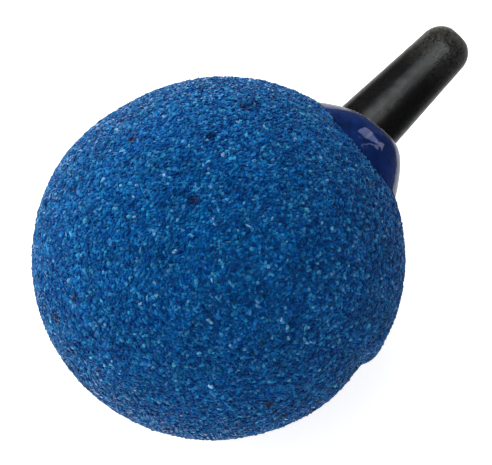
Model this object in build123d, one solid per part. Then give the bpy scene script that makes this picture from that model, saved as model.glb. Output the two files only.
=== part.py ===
from build123d import *
import math
import os

# An air stone: a ball of bonded grit with a black hose nozzle glued into it.
# Millimetres. The nozzle points along +X and the ball stands on z = 0.

# ball: two moulded halves that closed slightly apart and out of line
BALL_RADIUS = 14.87
MOULD_GAP = 0.56  # between the halves' centres, along the mould's axis
MOULD_SHIFT = 0.69  # between the halves' centres, across the mould's axis
MOULD_TILT = 10.0  # degrees from the nozzle's axis to the mould's axis

# nozzle: a tapered hose tail outside the ball, a ribbed shank inside it
NOZZLE_OFFSET = 1.08  # the nozzle's axis lies this far off the ball's middle, towards -Y
TAIL_LENGTH = 11.84  # from the ball's face to the tip, before its air bore is cut
TAIL_ROOT_DIAMETER = 5.3  # at the ball's face
TAIL_TIP_DIAMETER = 3.9
TAIL_TIP_ROUND = 1.6
LAND_DIAMETER = 4.6  # the short parallel stretch that grips the hose
LAND_LENGTH = 2.0
LAND_START = 5.0  # from the ball's face
AIR_BORE_DIAMETER = 1.8
AIR_BORE_CHAMFER = 0.2
SHANK_LENGTH = 9.0  # inside the ball
SHANK_DIAMETER = 5.2
RIB_DIAMETER = 5.7
RIB_WIDTH = 0.6
RIB_COUNT = 3

# socket in the ball: a mouth, a bore for the shank and a narrower air chamber
SOCKET_DIAMETER = 6.0
MOUTH_DIAMETER = 8.4
MOUTH_DEPTH = 1.2
CHAMBER_DIAMETER = 4.0
CHAMBER_LENGTH = 7.0
DRILL_POINT_ANGLE = 118.0

# epoxy: fills the socket round the shank and stands out as a domed bead
BEAD_RADIUS = 6.3
BEAD_HEIGHT = 1.85  # the dome's top above the ball's face
BEAD_OFFSET = 0.31  # the dome lies this far off the nozzle's axis, towards -Y

CUTTER = 4 * BALL_RADIUS  # size of blocks that only cut


def nozzle_axis():
    """The nozzle's own frame: its +Z is the part's +X, and its origin is level with the ball's middle."""
    return Location(Plane(origin=(0, -NOZZLE_OFFSET, 0), x_dir=(0, 1, 0), z_dir=(1, 0, 0)))


def half_centre(side):
    """Centre of one moulded half: side is +1 for the nozzle's half and -1 for the far half."""
    along = Vector(1, 0, 0).rotate(Axis.Z, MOULD_TILT) * (side * MOULD_GAP / 2)
    across = Vector(0, -1, 0).rotate(Axis.Z, MOULD_TILT) * (side * MOULD_SHIFT / 2)
    return along + across


def ball_face():
    """How far the ball's surface is from its middle, measured along the nozzle's axis."""
    centre = half_centre(1)
    off_axis = centre.Y + NOZZLE_OFFSET
    return centre.X + math.sqrt(BALL_RADIUS**2 - off_axis**2)


def solid_ball():
    """The two halves joined on the mould's parting plane, with the ledge that their shift leaves."""
    halves = []
    for side in (1, -1):
        sphere = Location(half_centre(side)) * Sphere(BALL_RADIUS)
        block = Location((side * CUTTER / 2, 0, 0)) * Box(CUTTER, CUTTER, CUTTER)
        halves.append(sphere & block.rotate(Axis.Z, MOULD_TILT))
    return halves[0] + halves[1]


def turned(points):
    """A solid turned about the nozzle's axis from (distance from the ball's middle, radius) points."""
    outline = Polyline(*[(radius, 0, distance) for distance, radius in points], close=True)
    return revolve(make_face(outline), Axis.Z)


def socket_cutter():
    """The mouth, the socket bore and the pointed air chamber, as one turned solid."""
    face = ball_face()
    seat = face - SHANK_LENGTH
    chamber_end = seat - CHAMBER_LENGTH
    point = CHAMBER_DIAMETER / 2 / math.tan(math.radians(DRILL_POINT_ANGLE / 2))
    return turned([
        (chamber_end - point, 0),
        (chamber_end, CHAMBER_DIAMETER / 2),
        (seat, CHAMBER_DIAMETER / 2),
        (seat, SOCKET_DIAMETER / 2),
        (face - MOUTH_DEPTH, SOCKET_DIAMETER / 2),
        (face, MOUTH_DIAMETER / 2),
        (face + MOUTH_DEPTH, MOUTH_DIAMETER / 2),
        (face + MOUTH_DEPTH, 0),
    ])


def nozzle_body():
    """The nozzle with no air bore: ribbed shank, tapered tail with its parallel land, rounded tip."""
    face = ball_face()
    seat = face - SHANK_LENGTH
    tip = face + TAIL_LENGTH
    land = face + LAND_START
    outline = [(seat, 0), (seat, SHANK_DIAMETER / 2)]
    pitch = SHANK_LENGTH / (RIB_COUNT + 1)
    for number in range(1, RIB_COUNT + 1):
        low = seat + number * pitch - RIB_WIDTH / 2
        high = low + RIB_WIDTH
        outline += [(low, SHANK_DIAMETER / 2), (low, RIB_DIAMETER / 2)]
        outline += [(high, RIB_DIAMETER / 2), (high, SHANK_DIAMETER / 2)]
    outline += [
        (face - MOUTH_DEPTH, SHANK_DIAMETER / 2),
        (face, TAIL_ROOT_DIAMETER / 2),
        (land, LAND_DIAMETER / 2),
        (land + LAND_LENGTH, LAND_DIAMETER / 2),
        (tip, TAIL_TIP_DIAMETER / 2),
        (tip, 0),
    ]
    body = turned(outline)
    return fillet(body.edges().filter_by(GeomType.CIRCLE).sort_by(Axis.Z)[-1], TAIL_TIP_ROUND)


def hose_nozzle():
    """The moulded nozzle, with its air bore right through and a lead-in at the tip."""
    tip = ball_face() + TAIL_LENGTH
    seat = ball_face() - SHANK_LENGTH
    bore = turned([
        (seat - 1, 0),
        (seat - 1, AIR_BORE_DIAMETER / 2),
        (tip - AIR_BORE_CHAMFER, AIR_BORE_DIAMETER / 2),
        (tip + AIR_BORE_CHAMFER, AIR_BORE_DIAMETER / 2 + 2 * AIR_BORE_CHAMFER),
        (tip + AIR_BORE_CHAMFER, 0),
    ])
    return nozzle_axis() * (nozzle_body() - bore)


def stone_ball():
    """The bonded grit ball with its socket and air chamber."""
    return solid_ball() - nozzle_axis() * socket_cutter()


def epoxy_seal():
    """The glue: what fills the socket round the shank, and the dome outside, as one cured solid."""
    face = ball_face()
    seat = face - SHANK_LENGTH
    dome = Location((-BEAD_OFFSET, 0, face + BEAD_HEIGHT - BEAD_RADIUS)) * Sphere(BEAD_RADIUS)
    past_seat = Location((0, 0, seat + CUTTER / 2)) * Box(CUTTER, CUTTER, CUTTER)
    plug = Location((0, 0, (seat + face) / 2)) * Cylinder(MOUTH_DIAMETER / 2, SHANK_LENGTH)
    glue = (dome & past_seat) + plug - nozzle_body()
    return nozzle_axis() * glue - stone_ball()


def standing(pieces):
    """Every piece moved so that the whole part stands on z = 0 with the middle of its box at the origin."""
    box = pieces["stone_ball"].bounding_box().add(pieces["hose_nozzle"].bounding_box())
    middle = box.center()
    move = Location((-middle.X, -middle.Y, -box.min.Z))
    return {name: move * piece for name, piece in pieces.items()}


def main():
    os.makedirs("parts", exist_ok=True)
    pieces = {
        "stone_ball": stone_ball(),
        "hose_nozzle": hose_nozzle(),
        "epoxy_seal": epoxy_seal(),
    }
    for name, piece in standing(pieces).items():
        print(name, round(piece.volume, 2), "mm3")
        export_step(piece, f"parts/{name}.step")


main()
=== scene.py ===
"""An air stone for an aquarium or pond: a ball of blue bonded grit, glued onto a black hose nozzle.

Metres throughout. The nozzle points along +X and the ball stands on z = 0.
"""

import math

import bmesh
import bpy
from mathutils import Matrix, Vector, noise


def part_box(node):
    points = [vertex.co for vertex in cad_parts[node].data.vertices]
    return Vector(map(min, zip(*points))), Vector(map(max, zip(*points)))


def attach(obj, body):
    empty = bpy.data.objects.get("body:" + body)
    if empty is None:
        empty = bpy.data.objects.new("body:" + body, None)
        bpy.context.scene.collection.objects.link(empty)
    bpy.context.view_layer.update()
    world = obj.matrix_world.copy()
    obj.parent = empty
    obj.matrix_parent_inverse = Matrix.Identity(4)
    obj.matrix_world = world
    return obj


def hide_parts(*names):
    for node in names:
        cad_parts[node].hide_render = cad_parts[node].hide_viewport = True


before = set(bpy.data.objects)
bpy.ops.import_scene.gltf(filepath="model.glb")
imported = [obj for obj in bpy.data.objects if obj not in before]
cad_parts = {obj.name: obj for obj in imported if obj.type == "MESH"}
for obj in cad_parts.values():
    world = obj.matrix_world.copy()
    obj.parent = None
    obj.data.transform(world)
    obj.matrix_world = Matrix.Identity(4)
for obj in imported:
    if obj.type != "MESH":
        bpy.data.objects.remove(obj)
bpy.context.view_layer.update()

MM = 0.001

# ---------------------------------------------------------------- sizes, from the frame

stone_low, stone_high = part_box("stone_ball")
nozzle_low, nozzle_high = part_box("hose_nozzle")

BALL_RADIUS = (stone_high.z - stone_low.z) / 2
AXIS_Y = (nozzle_low.y + nozzle_high.y) / 2
AXIS_Z = (nozzle_low.z + nozzle_high.z) / 2
SEAT_X = nozzle_low.x
TIP_X = nozzle_high.x

# the ball's two moulded halves closed slightly apart and out of line
MOULD_GAP = 0.56 * MM
MOULD_SHIFT = 0.69 * MM
MOULD_AXIS = Vector((1, 0, 0))
MOULD_AXIS.rotate(Matrix.Rotation(math.radians(10), 3, "Z"))
MOULD_SIDE = Vector((MOULD_AXIS.y, -MOULD_AXIS.x, 0))
HALF_OFFSET = MOULD_AXIS * (MOULD_GAP / 2) + MOULD_SIDE * (MOULD_SHIFT / 2)
BALL_CENTRE = Vector((stone_low.x + BALL_RADIUS + HALF_OFFSET.x, 0, AXIS_Z))
FACE_X = BALL_CENTRE.x + HALF_OFFSET.x + math.sqrt(BALL_RADIUS**2 - (AXIS_Y - HALF_OFFSET.y) ** 2)

# how the halves meet, along the moulding's axis, where 1 is the ball's radius
LEDGE_HALF_WIDTH = 0.06  # the crisp ledge on one side
BLEND_START, BLEND_WIDTH = -0.03, 0.58  # and the blended one on the other
SWELLING_PLACE, SWELLING_WIDTH = -0.28, 0.17  # the ball swells a little behind the crisp ledge
SWELLING_HEIGHT = 0.12 * MM

# the ball's socket, its countersunk mouth, and the air chamber past it
SOCKET_RADIUS = 3.0 * MM
MOUTH_RADIUS = 4.2 * MM
MOUTH_DEPTH = 1.2 * MM
CHAMBER_RADIUS = 2.0 * MM
CHAMBER_LENGTH = 7.0 * MM
CHAMBER_POINT = 1.2 * MM  # the length of the cone at its end

# the nozzle
BORE_RADIUS = 0.9 * MM
SHANK_RADIUS = 2.6 * MM
RIB_RADIUS = 2.85 * MM
RIB_WIDTH = 0.6 * MM
ROOT_RADIUS = 2.73 * MM  # of the tail at the ball's face
TIP_RADIUS = 2.13 * MM
NOSE_RADIUS = 1.9 * MM  # of the rounding at its tip
NOSE_PAST_TIP = 0.2 * MM  # how far the rounding would go on if the bore didn't cut it off

# grains of grit
GRAIN_SIZE = 0.35 * MM
GRAIN_SPACING = 0.22 * MM
GRAIN_SECTORS = 6
GRAIN_SINK = 0.08 * MM  # how far the deepest grains sit below the proudest
GRAIN_CRUSH = 0.16  # how far a grain's corners are moved, as a share of its size
BED_DEPTH = 0.13 * MM  # the resin between the grains lies this far below their tops

# bead of glue: distances from the nozzle's axis, and along it from the ball's face
BEAD_REACH = 5.1 * MM
BEAD_LEAN = 0.73 * MM  # towards -Y
BEAD_FRONT = 0.4 * MM  # and upwards
BEAD_START = 2.4 * MM  # a little inside the nozzle's wall
BEAD_TOP = 1.42 * MM
BEAD_TOP_LEAN = 0.49 * MM
BEAD_TOP_FALL = 0.17 * MM  # how much lower it is towards +Y and -Y than upwards and downwards
BEAD_CREST = 0.12  # where its crest is, as a share of the way from the nozzle to its edge
BEAD_DIP = 0.14 * MM  # from the crest down to the nozzle's wall
BEAD_SKIRT = 0.5 * MM  # how far the bead's edge goes into the ball
BEAD_TUCK = 0.2 * MM  # and inwards, on the way
GRIT_UNDER_BEAD = 0.2 * MM  # how far the grains go on under the bead's edge


def smooth_step(low, high, value):
    share = min(max((value - low) / (high - low), 0.0), 1.0)
    return share * share * (3 - 2 * share)


def sphere_reach(direction, offset):
    """Distance from the ball's middle to a moulded half's surface, whose centre is offset from it."""
    along = direction.dot(offset)
    return along + math.sqrt(along * along - offset.length_squared + BALL_RADIUS**2)


def ball_reach(direction):
    """Distance from the ball's middle to its surface: a crisp ledge on the -Y side, a blended one on +Y."""
    near = sphere_reach(direction, HALF_OFFSET)
    far = sphere_reach(direction, -HALF_OFFSET)
    height = direction.dot(MOULD_AXIS)
    if direction.dot(MOULD_SIDE) > 0:
        share = smooth_step(-LEDGE_HALF_WIDTH, LEDGE_HALF_WIDTH, height)
        swelling = SWELLING_HEIGHT * math.exp(-(((height - SWELLING_PLACE) / SWELLING_WIDTH) ** 2))
    else:
        share = min(max((height - BLEND_START) / BLEND_WIDTH, 0.0), 1.0)
        swelling = 0.0
    lumps = noise.noise(direction * 2.2) * 0.05 + noise.noise(direction * 7.0) * 0.035
    return far + (near - far) * share + lumps * MM + swelling


# ---------------------------------------------------------------- meshes

def shell(name, rings):
    """A mesh from rings of points, each ring joined to the next; a ring of one point is a pole.

    Its map, OFBake, runs round the rings and along them.
    """
    points, starts = [], []
    for ring in rings:
        starts.append(len(points))
        points += ring
    faces, places = [], []
    rows = len(rings) - 1
    for row in range(rows):
        low, high = rings[row], rings[row + 1]
        count = max(len(low), len(high))
        for step in range(count):
            after = (step + 1) % count
            u0, u1 = step / count, (step + 1) / count
            v0, v1 = row / rows, (row + 1) / rows
            if len(low) == 1:
                faces.append((starts[row], starts[row + 1] + after, starts[row + 1] + step))
                places += [((u0 + u1) / 2, v0), (u1, v1), (u0, v1)]
            elif len(high) == 1:
                faces.append((starts[row] + step, starts[row] + after, starts[row + 1]))
                places += [(u0, v0), (u1, v0), ((u0 + u1) / 2, v1)]
            else:
                faces.append((
                    starts[row] + step, starts[row] + after,
                    starts[row + 1] + after, starts[row + 1] + step,
                ))
                places += [(u0, v0), (u1, v0), (u1, v1), (u0, v1)]
    mesh = bpy.data.meshes.new(name)
    mesh.from_pydata(points, [], faces)
    layer = mesh.uv_layers.new(name="OFBake")
    layer.uv.foreach_set("vector", [number for place in places for number in place])
    mesh.polygons.foreach_set("use_smooth", [True] * len(faces))
    mesh.update()
    piece = bpy.data.objects.new(name, mesh)
    bpy.context.scene.collection.objects.link(piece)
    return piece


def join_doubles(piece):
    """Merges vertices that share a place, and turns the faces outwards."""
    work = bmesh.new()
    work.from_mesh(piece.data)
    bmesh.ops.remove_doubles(work, verts=work.verts, dist=1e-7)
    bmesh.ops.recalc_face_normals(work, faces=work.faces)
    work.to_mesh(piece.data)
    work.free()


def ring_about_axis(x, radius, count):
    """Points round the nozzle's axis at x."""
    turns = [2 * math.pi * step / count for step in range(count)]
    return [Vector((x, AXIS_Y + radius * math.cos(t), AXIS_Z + radius * math.sin(t))) for t in turns]


# ---------------------------------------------------------------- pieces

def bead_edge(turn):
    """How far from the nozzle's axis the bead reaches, at an angle round it from +Y."""
    wobble = 0.10 * MM * math.sin(2 * turn) + 0.06 * MM * math.sin(4 * turn)
    front = BEAD_FRONT * max(0.0, math.sin(turn)) ** 2
    return BEAD_REACH - BEAD_LEAN * math.cos(turn) + front + wobble


def bead_height(share, turn, foot):
    """The bead's x at a share of the way from the nozzle's wall to the bead's edge, whose x is foot."""
    lean = -math.cos(turn)
    top = FACE_X + BEAD_TOP + BEAD_TOP_LEAN * lean - BEAD_TOP_FALL * lean * lean
    power = 1.35 + 0.2 * lean
    if share < BEAD_CREST:
        return top - BEAD_DIP * (1 - share / BEAD_CREST) ** 2
    return foot + (top - foot) * (1 - ((share - BEAD_CREST) / (1 - BEAD_CREST)) ** power)


def ball_bed():
    """The ball under its grains, with the socket and the air chamber that the nozzle opens into."""
    around, along = 240, 190
    chamber_end = SEAT_X - CHAMBER_LENGTH
    rings = [[Vector((chamber_end - CHAMBER_POINT, AXIS_Y, AXIS_Z))]]
    for x, radius in (
        (chamber_end, CHAMBER_RADIUS),
        (SEAT_X, CHAMBER_RADIUS),
        (SEAT_X, SOCKET_RADIUS),
        (FACE_X - MOUTH_DEPTH, SOCKET_RADIUS),
    ):
        rings.append(ring_about_axis(x, radius, around))
    inner = sum(len(ring) for ring in rings)
    mouth = [(point - BALL_CENTRE).normalized() for point in ring_about_axis(FACE_X, MOUTH_RADIUS, around)]
    pole = Vector((-1, 0, 0))
    for row in range(along + 1):
        share = row / along
        ring = []
        for start in mouth:
            direction = start.slerp(pole, share) if row < along else pole
            ring.append(BALL_CENTRE + direction * (ball_reach(direction) - BED_DEPTH))
        rings.append(ring if row < along else ring[:1])
    piece = shell("ball_bed", rings)
    mark_grit(piece, inner)
    return piece


def mark_grit(piece, inner):
    """Sets the bed's grit attribute: 1 where grains go, and 0 inside the socket and under the bead."""
    values = []
    for number, vertex in enumerate(piece.data.vertices):
        y, z = vertex.co.y - AXIS_Y, vertex.co.z - AXIS_Z
        near_axis = math.hypot(y, z) < bead_edge(math.atan2(z, y)) - GRIT_UNDER_BEAD
        near_face = vertex.co.x > FACE_X - 3 * MM
        bare = number < inner or (near_axis and near_face)
        values.append(0.0 if bare else 1.0)
    piece.data.attributes.new("grit", "FLOAT", "POINT").data.foreach_set("value", values)


def nozzle_profile():
    """(x, radius) down the outside of the nozzle from its seat to its tip, then back up its bore."""
    profile = [(SEAT_X, BORE_RADIUS), (SEAT_X, SHANK_RADIUS)]
    for rib in (1, 2, 3):
        middle = SEAT_X + (FACE_X - SEAT_X) * rib / 4
        low, high = middle - RIB_WIDTH / 2, middle + RIB_WIDTH / 2
        profile += [(low, SHANK_RADIUS), (low, RIB_RADIUS), (high, RIB_RADIUS), (high, SHANK_RADIUS)]
    profile.append((FACE_X - MOUTH_DEPTH, SHANK_RADIUS))
    nose_x = TIP_X + NOSE_PAST_TIP - NOSE_RADIUS
    for step in range(41):
        share = step / 40
        radius = ROOT_RADIUS + (TIP_RADIUS - ROOT_RADIUS) * share
        profile.append((FACE_X + (nose_x - FACE_X) * share, radius))
    bore_edge = BORE_RADIUS + 0.06 * MM
    last_turn = math.acos((bore_edge - TIP_RADIUS + NOSE_RADIUS) / NOSE_RADIUS)
    for step in range(1, 17):
        turn = last_turn * step / 16
        radius = TIP_RADIUS - NOSE_RADIUS * (1 - math.cos(turn))
        profile.append((nose_x + NOSE_RADIUS * math.sin(turn), radius))
    # over the bore's edge, which is very slightly rounded, and down the bore
    profile += [(TIP_X + 0.03 * MM, BORE_RADIUS + 0.02 * MM), (TIP_X - 0.05 * MM, BORE_RADIUS)]
    profile.append((TIP_X - 0.3 * MM, BORE_RADIUS))
    profile += [(TIP_X - (TIP_X - SEAT_X) * step / 6, BORE_RADIUS) for step in range(1, 6)]
    return profile


def hose_nozzle():
    """The nozzle, turned from its profile, with the slight unevenness of a cheap moulding."""
    rings = []
    for x, radius in nozzle_profile():
        in_the_open = x > FACE_X and radius > BORE_RADIUS + 0.15 * MM
        ring = []
        for point in ring_about_axis(x, radius, 96):
            out = Vector((0, point.y - AXIS_Y, point.z - AXIS_Z)).normalized()
            dent = noise.noise(point / MM * 1.3) * 0.012 + noise.noise(point / MM * 4.0) * 0.006
            ring.append(point + out * dent * MM if in_the_open else point)
        rings.append(ring)
    rings.append(list(rings[0]))
    piece = shell("hose_nozzle_moulded", rings)
    join_doubles(piece)
    return piece


def ball_point_at(out, distance):
    """The point of the ball's surface at a distance from the nozzle's axis, in the direction out."""
    target = Vector((FACE_X, AXIS_Y, AXIS_Z)) + out * distance
    for _ in range(6):
        direction = (target - BALL_CENTRE).normalized()
        target.x = BALL_CENTRE.x + direction.x * ball_reach(direction)
    return target


def glue_bead():
    """The cured glue: a lopsided dome round the nozzle, with its edge sunk in the ball."""
    around, across = 160, 40
    axis = Vector((0, AXIS_Y, AXIS_Z))
    columns = []
    for step in range(around):
        turn = 2 * math.pi * step / around
        out = Vector((0, math.cos(turn), math.sin(turn)))
        edge = bead_edge(turn)
        foot = ball_point_at(out, edge)
        column = []
        for number in range(across + 1):
            share = number / across
            place = axis + out * (BEAD_START + (edge - BEAD_START) * share)
            place.x = bead_height(share, turn, foot.x)
            ripple = noise.noise(place / MM * 0.5) * 0.05 + noise.noise(place / MM * 1.1) * 0.03
            place.x += ripple * MM * (1 - share)
            column.append(place)
        column.append(foot - Vector((BEAD_SKIRT, 0, 0)) - out * BEAD_TUCK)
        for x, radius in (
            (FACE_X - MOUTH_DEPTH, SOCKET_RADIUS),
            (SEAT_X, SOCKET_RADIUS),
            (SEAT_X, SHANK_RADIUS),
            (FACE_X - MOUTH_DEPTH, BEAD_START + 0.1 * MM),
        ):
            column.append(axis + out * radius + Vector((x, 0, 0)))
        column.append(column[0].copy())
        columns.append(column)
    piece = shell("glue_bead", [list(ring) for ring in zip(*columns)])
    join_doubles(piece)
    return piece


# ---------------------------------------------------------------- node trees

class Wiring:
    """A node tree in the making, and helpers that add nodes to it."""

    def __init__(self, tree):
        self.tree = tree

    def add(self, kind, **settings):
        node = self.tree.nodes.new(kind)
        for key, value in settings.items():
            setattr(node, key, value)
        return node

    def join(self, source, target):
        self.tree.links.new(source, target)

    def put(self, target, value):
        """Joins value to the socket if it is another node's output, or else sets the socket to it."""
        if hasattr(value, "is_linked"):
            self.join(value, target)
        else:
            target.default_value = value

    def maths(self, operation, first, second=0.0):
        node = self.add("ShaderNodeMath", operation=operation)
        self.put(node.inputs[0], first)
        self.put(node.inputs[1], second)
        return node.outputs[0]


# ---------------------------------------------------------------- grains, by geometry nodes

def live_output(node):
    """The output that a node of several data types has at present."""
    return next(port for port in node.outputs if port.enabled)


class GrainWiring(Wiring):
    """Geometry nodes in the making."""

    def index(self):
        return self.add("GeometryNodeInputIndex").outputs[0]

    def attribute(self, name):
        node = self.add("GeometryNodeInputNamedAttribute", data_type="FLOAT")
        node.inputs["Name"].default_value = name
        return live_output(node)

    def random(self, low, high, seed, number=None):
        """A random value or vector for each thing, or for each number where one is given."""
        kind = "FLOAT_VECTOR" if isinstance(low, tuple) else "FLOAT"
        node = self.add("FunctionNodeRandomValue", data_type=kind)
        ports = [port for port in node.inputs if port.enabled]
        ports[0].default_value = low
        ports[1].default_value = high
        ports[-1].default_value = seed
        if number is not None:
            self.join(number, node.inputs["ID"])
        return live_output(node)

    def scaled(self, vector, scale):
        node = self.add("ShaderNodeVectorMath", operation="SCALE")
        self.join(vector, node.inputs[0])
        self.join(scale, node.inputs["Scale"])
        return node.outputs[0]

    def moved(self, geometry, offset):
        node = self.add("GeometryNodeSetPosition")
        self.join(geometry, node.inputs["Geometry"])
        self.join(offset, node.inputs["Offset"])
        return node.outputs[0]

    def stored(self, geometry, name, value, kind="FLOAT", domain="INSTANCE"):
        """The geometry with value kept in an attribute of this name."""
        node = self.add("GeometryNodeStoreNamedAttribute", data_type=kind, domain=domain)
        node.inputs["Name"].default_value = name
        self.join(geometry, node.inputs["Geometry"])
        self.join(value, node.inputs["Value"])
        return node.outputs[0]


def scattered_points(work, given):
    """The node that scatters points wherever the mesh's grit attribute is 1."""
    scatter = work.add("GeometryNodeDistributePointsOnFaces", distribute_method="POISSON")
    work.join(given["Geometry"], scatter.inputs["Mesh"])
    work.join(given["Spacing"], scatter.inputs["Distance Min"])
    work.join(given["Seed"], scatter.inputs["Seed"])
    work.join(work.attribute("grit"), scatter.inputs["Density Factor"])
    scatter.inputs["Density Max"].default_value = 9e7  # per square metre, before the spacing thins them
    return scatter


def one_sector(work, points, wanted):
    """Only those points that lie in the wanted sector round the nozzle's axis."""
    place = work.add("ShaderNodeSeparateXYZ")
    work.join(work.add("GeometryNodeInputPosition").outputs[0], place.inputs[0])
    height = work.maths("SUBTRACT", place.outputs["Z"], AXIS_Z)
    side = work.maths("SUBTRACT", place.outputs["Y"], AXIS_Y)
    turn = work.maths("ADD", work.maths("ARCTAN2", height, side), math.pi)
    # a hair under the full count, so that a whole turn still falls in the last sector
    sectors_per_radian = GRAIN_SECTORS / (2 * math.pi) * 0.99999
    sector = work.maths("FLOOR", work.maths("MULTIPLY", turn, sectors_per_radian))
    differs = work.add("FunctionNodeCompare", data_type="FLOAT", operation="NOT_EQUAL")
    first, second, allowance = [port for port in differs.inputs if port.enabled][:3]
    work.join(sector, first)
    work.join(wanted, second)
    allowance.default_value = 0.5
    cut = work.add("GeometryNodeDeleteGeometry", domain="POINT")
    work.join(points, cut.inputs["Geometry"])
    work.join(differs.outputs[0], cut.inputs["Selection"])
    return cut.outputs[0]


def planted_grains(work, points, turned, size):
    """One grain at each point, stretched and tilted at random, as instances."""
    grain = work.add("GeometryNodeMeshIcoSphere")
    grain.inputs["Radius"].default_value = 0.5
    grain.inputs["Subdivisions"].default_value = 1
    tilt = work.add("FunctionNodeEulerToRotation")
    work.join(work.random((-0.45, -0.45, 0), (0.45, 0.45, 2 * math.pi), 3), tilt.inputs[0])
    spin = work.add("FunctionNodeRotateRotation", rotation_space="LOCAL")
    work.join(turned, spin.inputs["Rotation"])
    work.join(tilt.outputs[0], spin.inputs["Rotate By"])
    stretch = work.random((0.6, 0.6, 0.4), (1.5, 1.5, 0.85), 5)
    planted = work.add("GeometryNodeInstanceOnPoints")
    work.join(points, planted.inputs["Points"])
    work.join(grain.outputs["Mesh"], planted.inputs["Instance"])
    work.join(spin.outputs[0], planted.inputs["Rotation"])
    work.join(work.scaled(stretch, size), planted.inputs["Scale"])
    return planted.outputs[0]


def crushed_grains(work, instances, size):
    """The instances as one mesh, each grain crushed by moving its corners."""
    made = work.add("GeometryNodeRealizeInstances")
    work.join(instances, made.inputs[0])
    shift = work.random((-1, -1, -1), (1, 1, 1), 7, number=work.index())
    return work.moved(made.outputs[0], work.scaled(shift, work.maths("MULTIPLY", size, GRAIN_CRUSH)))


def mapped_grains(work, grains, instances):
    """The grains with a map of one small square for each, because a grain is one colour."""
    total = work.add("GeometryNodeAttributeDomainSize", component="INSTANCES")
    work.join(instances, total.inputs[0])
    columns = work.maths("CEIL", work.maths("SQRT", total.outputs["Instance Count"]))
    cell = work.attribute("cell")
    corner = work.maths("MODULO", work.index(), 3)
    spot = work.add("ShaderNodeCombineXYZ")
    for target, square, far_corner in (
        (spot.inputs[0], work.maths("MODULO", cell, columns), 1),
        (spot.inputs[1], work.maths("FLOOR", work.maths("DIVIDE", cell, columns)), 2),
    ):
        reach = work.maths("MULTIPLY", work.maths("COMPARE", corner, far_corner), 0.8)
        place = work.maths("ADD", square, work.maths("ADD", 0.1, reach))
        work.join(work.maths("DIVIDE", place, columns), target)
    return work.stored(grains, "OFBake", spot.outputs[0], "FLOAT2", "CORNER")


def grit_tree(material):
    """Geometry nodes that coat a mesh with crushed grains, one sector of the ball at a time."""
    tree = bpy.data.node_groups.new("grit_coat", "GeometryNodeTree")
    for name, kind in (
        ("Geometry", "NodeSocketGeometry"),
        ("Spacing", "NodeSocketFloat"),
        ("Grain size", "NodeSocketFloat"),
        ("Sector", "NodeSocketInt"),
        ("Seed", "NodeSocketInt"),
    ):
        tree.interface.new_socket(name, in_out="INPUT", socket_type=kind)
    tree.interface.new_socket("Geometry", in_out="OUTPUT", socket_type="NodeSocketGeometry")
    work = GrainWiring(tree)
    given = work.add("NodeGroupInput").outputs
    scatter = scattered_points(work, given)
    points = one_sector(work, scatter.outputs["Points"], given["Sector"])
    sink = work.random(-GRAIN_SINK, 0.0, 11)
    points = work.moved(points, work.scaled(scatter.outputs["Normal"], sink))
    instances = planted_grains(work, points, scatter.outputs["Rotation"], given["Grain size"])
    for name, value in (
        # a random number for each grain, which the material turns into its tone and, at the top, painted
        # sparkle
        ("tone_and_painted_sparkle", work.random(0.0, 1.0, 21)),
        ("glint", work.random(0.0, 1.0, 22)),
        ("cell", work.index()),
    ):
        instances = work.stored(instances, name, value)
    grains = crushed_grains(work, instances, given["Grain size"])
    flat = work.add("GeometryNodeSetShadeSmooth")
    flat.inputs["Shade Smooth"].default_value = False
    work.join(mapped_grains(work, grains, instances), flat.inputs[0])
    finish = work.add("GeometryNodeSetMaterial")
    finish.inputs["Material"].default_value = material
    work.join(flat.outputs[0], finish.inputs[0])
    work.join(finish.outputs[0], work.add("NodeGroupOutput").inputs[0])
    return tree


def socket_of(tree, name):
    """What a modifier calls the tree's input of this name."""
    inputs = [item for item in tree.interface.items_tree if item.in_out == "INPUT"]
    return next(item.identifier for item in inputs if item.name == name)


def coat_of_grains(bed, material):
    """The grains on the ball, as one plain mesh for each sector."""
    tree = grit_tree(material)
    coats = []
    for sector in range(GRAIN_SECTORS):
        modifier = bed.modifiers.new("grit", "NODES")
        modifier.node_group = tree
        for name, value in (
            ("Spacing", GRAIN_SPACING),
            ("Grain size", GRAIN_SIZE),
            ("Sector", sector),
            ("Seed", 4),
        ):
            modifier[socket_of(tree, name)] = value
        bpy.context.view_layer.update()
        depsgraph = bpy.context.evaluated_depsgraph_get()
        mesh = bpy.data.meshes.new_from_object(bed.evaluated_get(depsgraph))
        bed.modifiers.remove(modifier)
        name = f"grit_sector_{sector + 1}"
        mesh.name = name
        for spare in ("cell", "id"):
            if spare in mesh.attributes:
                mesh.attributes.remove(mesh.attributes[spare])
        coat = bpy.data.objects.new(name, mesh)
        bpy.context.scene.collection.objects.link(coat)
        coats.append(coat)
    return coats


# ---------------------------------------------------------------- materials

def linear(red, green, blue):
    """A screen colour of 0 to 255 as the linear colour that a shader takes."""
    def channel(value):
        share = value / 255
        return share / 12.92 if share <= 0.04045 else ((share + 0.055) / 1.055) ** 2.4
    return (channel(red), channel(green), channel(blue), 1.0)


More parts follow.
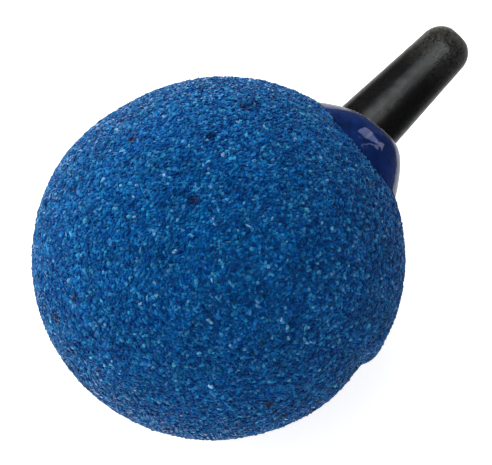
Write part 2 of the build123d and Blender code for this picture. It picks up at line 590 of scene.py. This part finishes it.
class Recipe(Wiring):
    """A node material in the making: one Principled shader, and helpers that shape what goes into it."""

    def __init__(self, name):
        self.material = bpy.data.materials.new(name)
        self.material.use_nodes = True
        super().__init__(self.material.node_tree)
        self.shader = self.tree.nodes["Principled BSDF"]
        self.coords = self.add("ShaderNodeTexCoord").outputs["Object"]

    def noise(self, size, detail=3.0, roughness=0.5):
        """Noise whose blotches are about this size in metres, as a number from 0 to 1."""
        node = self.add("ShaderNodeTexNoise")
        self.join(self.coords, node.inputs["Vector"])
        node.inputs["Scale"].default_value = 1 / size
        node.inputs["Detail"].default_value = detail
        node.inputs["Roughness"].default_value = roughness
        return node.outputs["Fac"]

    def attribute(self, name):
        return self.add("ShaderNodeAttribute", attribute_name=name).outputs["Fac"]

    def ramp(self, value, stops):
        """value through a colour ramp of (place, colour) stops."""
        node = self.add("ShaderNodeValToRGB")
        while len(node.color_ramp.elements) < len(stops):
            node.color_ramp.elements.new(0.5)
        for element, (place, colour) in zip(node.color_ramp.elements, stops):
            element.position = place
            element.color = colour
        self.join(value, node.inputs["Fac"])
        return node.outputs["Color"]

    def span(self, value, from_low, from_high, to_low, to_high):
        """value, carried from the first span of numbers to the second and held at its ends."""
        node = self.add("ShaderNodeMapRange")
        self.put(node.inputs["Value"], value)
        for name, number in (
            ("From Min", from_low),
            ("From Max", from_high),
            ("To Min", to_low),
            ("To Max", to_high),
        ):
            node.inputs[name].default_value = number
        return node.outputs["Result"]

    def mix(self, share, first, second, blend="MIX"):
        """Two colours mixed by share."""
        node = self.add("ShaderNodeMix", data_type="RGBA", blend_type=blend)
        self.put(node.inputs[0], share)
        self.put(node.inputs[6], first)
        self.put(node.inputs[7], second)
        return node.outputs[2]

    def bump(self, height, distance, strength):
        node = self.add("ShaderNodeBump")
        node.inputs["Distance"].default_value = distance
        node.inputs["Strength"].default_value = strength
        self.join(height, node.inputs["Height"])
        self.join(node.outputs["Normal"], self.shader.inputs["Normal"])

    def rusted(self, colour):
        """The colour with a few small ragged spots, some rusty and some dark blue."""
        cells = self.add("ShaderNodeTexVoronoi", feature="F1")
        self.join(self.coords, cells.inputs["Vector"])
        cells.inputs["Scale"].default_value = 1 / (3.8 * MM)
        ragged = self.span(self.noise(0.6 * MM), 0.3, 0.7, -0.06, 0.06)
        distance = self.maths("ADD", cells.outputs["Distance"], ragged)
        spot = self.span(distance, 0.06, 0.15, 0.9, 0.0)
        kind = self.span(self.noise(5.0 * MM, 0.0), 0.46, 0.54, 0.0, 1.0)
        return self.mix(spot, colour, self.mix(kind, linear(34, 22, 40), linear(1, 26, 70)))

    def set(self, **values):
        """Sets sockets of the shader, whose names are given with _ for a space."""
        for name, value in values.items():
            self.put(self.shader.inputs[name.replace("_", " ")], value)


def grit_material():
    """Blue-dyed crushed mineral: each grain its own tone, a few grains made pale as painted sparkle, and
    rusty spots.
    """
    recipe = Recipe("blue_grit")
    # the last and palest stops, for a few grains, are painted sparkle
    tone_and_painted_sparkle = recipe.ramp(recipe.attribute("tone_and_painted_sparkle"), (
        (0.00, linear(0, 45, 110)),
        (0.15, linear(1, 57, 120)),
        (0.45, linear(4, 69, 130)),
        (0.72, linear(9, 79, 137)),
        (0.88, linear(20, 90, 145)),
        (0.96, linear(36, 103, 153)),
        (0.99, linear(56, 117, 161)),
        (1.00, linear(84, 136, 174)),
    ))
    hue = recipe.ramp(recipe.attribute("glint"), (
        (0.0, (0.6, 1.07, 0.97, 1)),
        (0.5, (1.0, 1.0, 0.99, 1)),
        (1.0, (1.7, 0.95, 1.00, 1)),
    ))
    dye_and_painted_sparkle = recipe.mix(1.0, tone_and_painted_sparkle, hue, "MULTIPLY")
    wide = recipe.span(recipe.noise(3.0 * MM, 2.0), 0.3, 0.7, 0.84, 1.16)
    narrow = recipe.ramp(recipe.noise(0.48 * MM, 1.0), (
        (0.25, (0.20, 0.40, 0.50, 1)),
        (0.50, (0.90, 1.0, 1.0, 1)),
        (0.75, (2.4, 1.6, 1.38, 1)),
    ))
    mottled = recipe.mix(1.0, recipe.mix(1.0, dye_and_painted_sparkle, narrow, "MULTIPLY"), wide, "MULTIPLY")
    recipe.set(
        Base_Color=recipe.rusted(mottled),
        Roughness=recipe.span(recipe.attribute("glint"), 0.0, 1.0, 0.75, 0.45),
        Specular_IOR_Level=0.5,
        Specular_Tint=(0, 0, 0, 1),  # no gloss seen face on, only at a grazing angle
        Sheen_Weight=0.3,
        Sheen_Roughness=0.25,
        Sheen_Tint=linear(165, 200, 225),
    )
    recipe.bump(recipe.noise(0.08 * MM, 2.0), 0.01 * MM, 0.4)
    return recipe.material


def bed_material():
    """Dark blue resin between the grains."""
    recipe = Recipe("blue_resin")
    colour = recipe.ramp(recipe.noise(0.25 * MM), (
        (0.3, linear(3, 56, 112)),
        (0.7, linear(9, 72, 130)),
    ))
    recipe.set(
        Base_Color=recipe.rusted(colour),
        Roughness=recipe.span(recipe.noise(0.3 * MM), 0.3, 0.7, 0.75, 0.9),
        Specular_IOR_Level=0.10,
    )
    recipe.bump(recipe.noise(0.12 * MM), 0.05 * MM, 0.6)
    return recipe.material


def plastic_material():
    """Black moulded plastic: satin and scuffed dull at its tip, with painted reflection: paler in patches
    along its two sides, whose edges are seen side-on from above.
    """
    recipe = Recipe("black_plastic")
    place = recipe.add("ShaderNodeSeparateXYZ")
    recipe.join(recipe.coords, place.inputs[0])
    tip = recipe.span(place.outputs["X"], TIP_X - 5.0 * MM, TIP_X - 0.5 * MM, 0.0, 0.85)
    height = recipe.maths("ABSOLUTE", recipe.maths("SUBTRACT", place.outputs["Z"], AXIS_Z))
    # its two sides, facing sideways: painted reflection, paler in patches
    painted_side_reflection = recipe.span(height, 0.5 * MM, 1.6 * MM, 0.8, 0.0)
    grain = recipe.noise(0.17 * MM, 4.0, 0.8)
    patchy = recipe.span(grain, 0.42, 0.64, 0.0, 1.0)
    # scuffs at the tip, and painted reflection on the two sides; roughness and bumps follow both
    wear_and_painted_reflection = recipe.maths("MULTIPLY", recipe.maths("MAXIMUM", tip, painted_side_reflection), patchy)
    # pale grey for the scuffs, paler still as painted reflection on the sides
    scuff_and_painted_reflection_colour = recipe.mix(painted_side_reflection, linear(66, 66, 66), linear(120, 120, 122))
    satin = recipe.span(recipe.noise(0.6 * MM), 0.3, 0.7, 0.25, 0.31)
    recipe.set(
        Base_Color=recipe.mix(wear_and_painted_reflection, linear(11, 11, 13), scuff_and_painted_reflection_colour),
        Roughness=recipe.maths("ADD", satin, recipe.maths("MULTIPLY", wear_and_painted_reflection, 0.35)),
        Specular_IOR_Level=0.5,
        Sheen_Weight=0.3,
        Sheen_Roughness=0.3,
    )
    recipe.bump(recipe.maths("MULTIPLY", grain, wear_and_painted_reflection), 0.02 * MM, 0.6)
    return recipe.material


def glue_material():
    """Dark blue epoxy, glossy, with faint swirls of dye."""
    recipe = Recipe("blue_epoxy")
    swirl = recipe.ramp(recipe.noise(1.2 * MM), (
        (0.35, linear(6, 22, 60)),
        (0.65, linear(10, 34, 88)),
    ))
    recipe.set(
        Base_Color=swirl,
        Roughness=recipe.span(recipe.noise(0.8 * MM), 0.3, 0.7, 0.04, 0.10),
        Specular_IOR_Level=0.5,
        Specular_Tint=(0.34, 0.44, 1.0, 1),
        Sheen_Weight=0.5,
        Sheen_Roughness=0.25,
    )
    recipe.bump(recipe.noise(0.7 * MM, 1.0), 0.03 * MM, 0.5)
    return recipe.material


def floor_material():
    """Matt white that glows a little, so that the shadow on it stays pale."""
    recipe = Recipe("pale_floor")
    recipe.set(Base_Color=(0.9, 0.9, 0.9, 1), Roughness=0.9, Specular_IOR_Level=0.0)
    recipe.set(Emission_Color=(1, 1, 1, 1), Emission_Strength=0.56)
    return recipe.material


def finish_with(piece, material, node=None):
    """Gives a piece its material and its body, and hides the CAD part that it stands for, if one is given.
    """
    piece.data.materials.clear()
    piece.data.materials.append(material)
    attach(piece, "root")
    if node:
        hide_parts(node)


# ---------------------------------------------------------------- studio

CAMERA_AZIMUTH = -45.4
CAMERA_ELEVATION = 83.0
CAMERA_DISTANCE = 1.0
VIEW_WIDTH = 40.4 * MM  # what the frame spans at the ball's middle
AIM_ACROSS = 2.255 * MM  # where the camera looks, right of the ball's middle
AIM_UP = 2.12 * MM


def camera_axes():
    """The camera's right, up and backward directions."""
    turn, lift = math.radians(CAMERA_AZIMUTH), math.radians(CAMERA_ELEVATION)
    right = Vector((math.cos(turn), math.sin(turn), 0))
    back = Vector((math.sin(turn) * math.cos(lift), -math.cos(turn) * math.cos(lift), math.sin(lift)))
    return right, back.cross(right), back


def product_camera():
    """A long lens, looking steeply down on the ball."""
    right, up, back = camera_axes()
    data = bpy.data.cameras.new("camera")
    data.lens = data.sensor_width * CAMERA_DISTANCE / VIEW_WIDTH
    data.clip_start, data.clip_end = 0.01, 50
    camera = bpy.data.objects.new("camera", data)
    target = BALL_CENTRE + right * AIM_ACROSS + up * AIM_UP
    facing = Matrix((right, up, back)).transposed().to_4x4()
    camera.matrix_world = Matrix.Translation(target + back * CAMERA_DISTANCE) @ facing
    bpy.context.scene.collection.objects.link(camera)
    bpy.context.scene.camera = camera


def pale_floor():
    """A wide white floor. Gloss doesn't mirror it."""
    half = 3.0
    corners = [(-half, -half, 0), (half, -half, 0), (half, half, 0), (-half, half, 0)]
    mesh = bpy.data.meshes.new("floor")
    mesh.from_pydata(corners, [], [(0, 1, 2, 3)])
    mesh.materials.append(floor_material())
    floor = bpy.data.objects.new("floor", mesh)
    bpy.context.scene.collection.objects.link(floor)
    floor.visible_glossy = False


def studio_walls():
    """White light from all round, brighter near the horizon than overhead. Gloss doesn't mirror it."""
    world = bpy.data.worlds.new("studio")
    world.use_nodes = True
    bpy.context.scene.world = world
    work = Wiring(world.node_tree)
    background = work.tree.nodes["Background"]
    background.inputs["Color"].default_value = (1, 1, 1, 1)
    height = work.add("ShaderNodeSeparateXYZ")
    work.join(work.add("ShaderNodeTexCoord").outputs["Generated"], height.inputs[0])
    glow = work.add("ShaderNodeMapRange")
    work.join(height.outputs["Z"], glow.inputs["Value"])
    for name, number in (
        ("From Min", 0.12),
        ("From Max", 0.42),
        ("To Min", 1.6),
        ("To Max", 0.40),
    ):
        glow.inputs[name].default_value = number
    work.join(glow.outputs["Result"], background.inputs["Strength"])
    world.cycles_visibility.glossy = False


def softbox(name, direction, distance, size, radiance, colour=(1, 1, 1), glossy=True, diffuse=True, roll=0):
    """An area lamp that looks at the ball from a direction, rolled by roll degrees about its line of sight.

    Its size is (width, height). Without glossy it lights the pieces and isn't mirrored, and without
    diffuse it is only mirrored.
    """
    width, height = size
    data = bpy.data.lights.new(name, "AREA")
    data.shape = "RECTANGLE"
    data.size, data.size_y = width, height
    data.energy = radiance * 4 * width * height
    data.color = colour
    lamp = bpy.data.objects.new(name, data)
    place = BALL_CENTRE + direction.normalized() * distance
    lamp.location = place
    facing = (BALL_CENTRE - place).to_track_quat("-Z", "Y").to_matrix()
    lamp.rotation_euler = (facing @ Matrix.Rotation(math.radians(roll), 3, "Z")).to_euler()
    lamp.visible_glossy = glossy
    lamp.visible_diffuse = diffuse
    lamp.visible_camera = False
    bpy.context.scene.collection.objects.link(lamp)
    return lamp


def main_lamps():
    """Two lamps overhead, and two low ones at the left of the camera's view."""
    right, up, back = camera_axes()
    upper_left = (up - right).normalized()
    above = back + upper_left * math.tan(math.radians(-2))
    softbox("overhead", above, 0.5, (0.20, 0.18), 8.8, diffuse=False)
    aslant = back + upper_left * math.tan(math.radians(26))
    softbox("overhead_wide", aslant, 0.5, (0.36, 0.36), 2.6, colour=(0.92, 0.98, 1.0))
    upper = up * 0.90 - right * 0.70 + back * 0.28
    softbox("left", upper, 0.6, (0.5, 0.4), 6.3, colour=(1.0, 0.94, 0.75), glossy=False)
    lower = -up * 0.9 - right * 0.5 + back * 0.3
    softbox("below", lower, 0.6, (0.5, 0.2), 4.4, colour=(1.0, 0.95, 0.80), glossy=False)


def mirrored_by_bead(turn):
    """Where a lamp has to be for the bead's slope, turned by turn degrees about +X, to mirror it up."""
    lift, turn = math.radians(43.5), math.radians(turn)
    slope = Vector((math.cos(lift), -math.sin(lift) * math.sin(turn), math.sin(lift) * math.cos(turn)))
    return slope * (2 * slope.z) - Vector((0, 0, 1))


def bead_lamps():
    """Lamps that are only mirrored: a broad streak and a thin one on the bead, and its pale rim."""
    _, _, back = camera_axes()
    for turn, height in ((-4, 0.060), (8, 0.045), (20, 0.030)):
        direction = mirrored_by_bead(turn)
        softbox("beyond_tip", direction, 0.4, (0.09, height), 2.1, diffuse=False, roll=2 * turn + 6)
    softbox("beyond_tip_side", Vector((1.0, -0.26, 0.0)), 0.4, (0.12, 0.010), 2.2, diffuse=False, roll=45)
    softbox("under_table", -back, 0.3, (0.48, 0.48), 0.5, diffuse=False)


def rim_lamps(grit_pieces):
    """Two lamps behind the ball that only the grit mirrors, for the pale haze along its edge."""
    right, up, back = camera_axes()
    grit_only = bpy.data.collections.new("grit_only")
    for piece in grit_pieces:
        grit_only.objects.link(piece)
    for name, side in (("rim_up", up), ("rim_low", -up)):
        direction = side * 0.87 - right * 0.5 - back * 1.3
        rim = softbox(name, direction, 0.6, (0.4, 0.4), 6.0, colour=(0.85, 1.0, 0.95), diffuse=False)
        rim.light_linking.receiver_collection = grit_only


def studio(grit_pieces):
    pale_floor()
    studio_walls()
    main_lamps()
    bead_lamps()
    rim_lamps(grit_pieces)
    bpy.context.scene.view_settings.view_transform = "Standard"


# ---------------------------------------------------------------- the air stone

bed = ball_bed()
grit = grit_material()
coats = coat_of_grains(bed, grit)
for coat in coats:
    finish_with(coat, grit)
finish_with(bed, bed_material(), "stone_ball")
finish_with(hose_nozzle(), plastic_material(), "hose_nozzle")
finish_with(glue_bead(), glue_material(), "epoxy_seal")
product_camera()
studio(coats + [bed])
